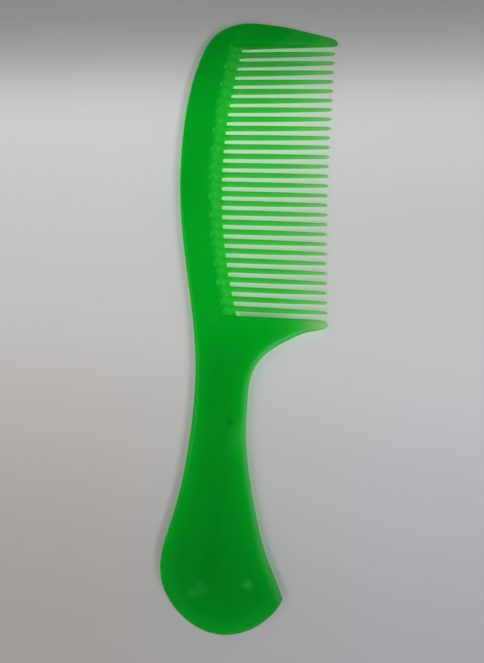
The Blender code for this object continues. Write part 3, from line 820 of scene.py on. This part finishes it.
# Wear: hair-fine scratches that lie at a slant, and a faint unevenness of the polish.
hair_turn = (0.0, 0.0, 0.6)
hair_scale = (60.0, 900.0, 60.0)
hair_start, hair_full = 0.66, 0.8
scratch_roughness, scratch_depth = 0.10, -0.15
smoothest, roughest = 0.04, 0.06
slant = add_node(plastic, "ShaderNodeMapping", (-1300, 1100), Rotation=hair_turn, Scale=hair_scale)
hairs = add_node(plastic, "ShaderNodeTexNoise", (-1100, 1100), Scale=1.0, Detail=2.0)
polish = add_node(plastic, "ShaderNodeTexNoise", (-1100, 1400), Scale=240.0, Detail=2.0)
links.new(place.outputs["Object"], slant.inputs["Vector"])
links.new(slant.outputs["Vector"], hairs.inputs["Vector"])
links.new(place.outputs["Object"], polish.inputs["Vector"])
hair_level = add_range(plastic, (-900, 1100), hairs.outputs["Fac"], hair_start, hair_full)
gloss = add_range(plastic, (-700, 1300), polish.outputs["Fac"], *noise_run, smoothest, roughest)
worn = add_sum((-500, 1200), "MULTIPLY_ADD", hair_level, scratch_roughness, gloss)
relief = add_sum((-500, 1500), "MULTIPLY_ADD", hair_level, scratch_depth, polish.outputs["Fac"])
uneven = add_node(plastic, "ShaderNodeBump", (-300, 1300), Strength=0.14, Distance=0.0001)
links.new(worn, shader.inputs["Roughness"])
links.new(relief, uneven.inputs["Height"])
links.new(uneven.outputs["Normal"], shader.inputs["Normal"])

# A part of the light passes straight through, so the comb's shadow is pale, most of all under the teeth:
# alpha is 1 less the share that passes, for rays towards a lamp and for light scattered off the table.
thick_passes, thin_passes = 0.02, 0.64
ray = add_node(plastic, "ShaderNodeLightPath", (-900, -700))
scattered = add_sum((-700, -800), "MAXIMUM", ray.outputs["Is Shadow Ray"], ray.outputs["Is Diffuse Ray"])
passed = add_range(plastic, (-700, -600), pale_reach, 0.0, 1.0, thick_passes, thin_passes)
let_through = add_sum((-500, -800), "MULTIPLY", scattered, passed)
solid = add_sum((-300, -700), "SUBTRACT", 1.0, let_through)
links.new(solid, shader.inputs["Alpha"])

# A painted glow: the lower face emits green light, strongest under the thin teeth, in place of light that
# spreads inside the plastic and leaves by that face. It falls on the table, and isn't seen on the face
# itself.
unseen = add_sum((-700, -450), "SUBTRACT", 1.0, ray.outputs["Is Camera Ray"])
glow_sent_down = add_sum((-500, -400), "MULTIPLY", add_share_node("below", (-700, -300)), unseen)
through = add_mix(plastic, (-300, -300), glow_sent_down, unlit, painted_glow_green)
links.new(through, shader.inputs["Emission Color"])
comb_mesh.materials.append(plastic)
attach(comb, "root")
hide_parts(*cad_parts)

# Table: a pale smooth laminate top that the comb lies on. It is one flat sheet, and its colour changes
# softly from the near edge to the far one: painted shade darkens it in bands beyond the comb's head and
# below the paddle, and a painted tint of the light makes its near part warm on the left and cool on the
# right, its far part a little brighter on the left.
table_size = 3.0
table_half = table_size / 2
table_corners = [
    (-table_half, -table_half, 0), (table_half, -table_half, 0),
    (table_half, table_half, 0), (-table_half, table_half, 0),
]
table_mesh = bpy.data.meshes.new("table")
table_mesh.from_pydata(table_corners, [], [(0, 1, 2, 3)])
table = bpy.data.objects.new("table", table_mesh)
bpy.context.scene.collection.objects.link(table)
table_finish = bpy.data.materials.new("table_laminate")
table_finish.use_nodes = True
table_shader = table_finish.node_tree.nodes["Principled BSDF"]
table_links = table_finish.node_tree.links
table_place = add_node(table_finish, "ShaderNodeTexCoord", (-1300, 0))
table_axes = add_node(table_finish, "ShaderNodeSeparateXYZ", (-1100, 0))
table_links.new(table_place.outputs["Object"], table_axes.inputs["Vector"])
up_table = add_range(table_finish, (-900, 200), table_axes.outputs["Y"], -0.3, 0.3)
across_table = add_range(table_finish, (-900, -100), table_axes.outputs["X"], -0.05, 0.06)
lower_table = add_range(table_finish, (-900, -400), table_axes.outputs["Y"], 0.03, -0.05)
table_ramp = add_node(table_finish, "ShaderNodeValToRGB", (-700, 200))
table_ramp.color_ramp.interpolation = "B_SPLINE"
pale_and_shade_levels = ((0.0, 0.5), (0.22, 0.4), (0.32, 0.375), (0.4, 0.465), (0.48, 0.59), (0.56, 0.585),
               (0.61, 0.68), (0.635, 0.62), (0.66, 0.38), (0.69, 0.265), (0.76, 0.31), (0.95, 0.5))
while len(table_ramp.color_ramp.elements) < len(pale_and_shade_levels):
    table_ramp.color_ramp.elements.new(0.5)
for stop, (position, level) in zip(table_ramp.color_ramp.elements, pale_and_shade_levels):
    stop.position = position
    stop.color = (level, level, level, 1.0)
table_links.new(up_table, table_ramp.inputs["Fac"])
lower_left, lower_right = (0.97, 0.92, 0.885, 1.0), (1.0, 1.03, 1.08, 1.0)
upper_left, upper_right = (1.05, 1.05, 1.045, 1.0), (0.99, 0.99, 0.985, 1.0)
lower_light_tint = add_mix(table_finish, (-700, -100), across_table, lower_left, lower_right)
upper_light_tint = add_mix(table_finish, (-700, -700), across_table, upper_left, upper_right)
painted_light_tint = add_mix(table_finish, (-500, -100), lower_table, upper_light_tint, lower_light_tint)
pale_top = add_mix(table_finish, (-300, 100), 1.0, table_ramp.outputs["Color"], painted_light_tint, "MULTIPLY")
table_links.new(pale_top, table_shader.inputs["Base Color"])
table_shader.inputs["Roughness"].default_value = 0.45
table_shader.inputs["Specular IOR Level"].default_value = 0.2
table_mesh.materials.append(table_finish)

# Light: a pale room, two wide soft panels, and two small lamps whose mirror images lie on the paddle. The
# room shows less in a mirror image than it lights.
white = (1.0, 1.0, 1.0)
mirrored = (0.15, 1.0, 0.44)
room_light = 0.335
room_in_mirror = 0.03
world = bpy.data.worlds.new("room")
bpy.context.scene.world = world
world.use_nodes = True
room = world.node_tree.nodes["Background"]
room.inputs["Color"].default_value = (*white, 1.0)
room_ray = world.node_tree.nodes.new("ShaderNodeLightPath")
room_level = world.node_tree.nodes.new("ShaderNodeMapRange")
room_level.inputs["To Min"].default_value = room_light
room_level.inputs["To Max"].default_value = room_in_mirror
world.node_tree.links.new(room_ray.outputs["Is Glossy Ray"], room_level.inputs["Value"])
world.node_tree.links.new(room_level.outputs["Result"], room.inputs["Strength"])


def add_panel(name, place, turn, size, energy, glossy, colour):
    """A soft lamp of this width and length at a place, facing the comb and turned by an angle about its
    own axis."""
    lamp = bpy.data.lights.new(name, "AREA")
    lamp.shape = "RECTANGLE"
    lamp.size, lamp.size_y = size
    lamp.energy = energy
    lamp.color = colour
    panel = bpy.data.objects.new(name, lamp)
    panel.location = place
    panel.rotation_mode = "QUATERNION"
    facing = (-Vector(place)).to_track_quat("-Z", "Y")
    panel.rotation_quaternion = facing @ Quaternion((0, 0, 1), math.radians(turn))
    panel.visible_glossy = glossy
    bpy.context.scene.collection.objects.link(panel)


add_panel("key_panel", (-0.6, -0.7, 1.6), 0, (3.8, 0.5), 20.6, False, white)
add_panel("side_panel", (1.35, -0.7, 1.45), 0, (1.4, 0.5), 17.0, False, white)
add_panel("ceiling_lamp", (-0.242, -0.565, 1.0), 66, (0.147, 0.029), 0.0112, True, mirrored)
add_panel("far_lamp", (-0.051, -0.474, 1.0), 34, (0.07, 0.011), 0.0096, True, mirrored)

# Camera: held over the comb's neck, looking almost straight down, as the photograph was taken.
camera_place = Vector((0.0228908, -0.0154359, 0.1760752))
camera_aim = Vector((-0.0013889, -0.0045212, 0.0022))
camera_roll = math.radians(-62.291)
camera_data = bpy.data.cameras.new("camera")
camera_data.sensor_width = 36.0
camera_data.lens = 28.235
camera_data.clip_start = 0.01
camera = bpy.data.objects.new("camera", camera_data)
camera.location = camera_place
camera.rotation_mode = "QUATERNION"
look = (camera_aim - camera_place).to_track_quat("-Z", "Y")
camera.rotation_quaternion = look @ Quaternion((0, 0, 1), camera_roll)
bpy.context.scene.collection.objects.link(camera)
bpy.context.scene.camera = camera
bpy.context.scene.view_settings.view_transform = "Standard"
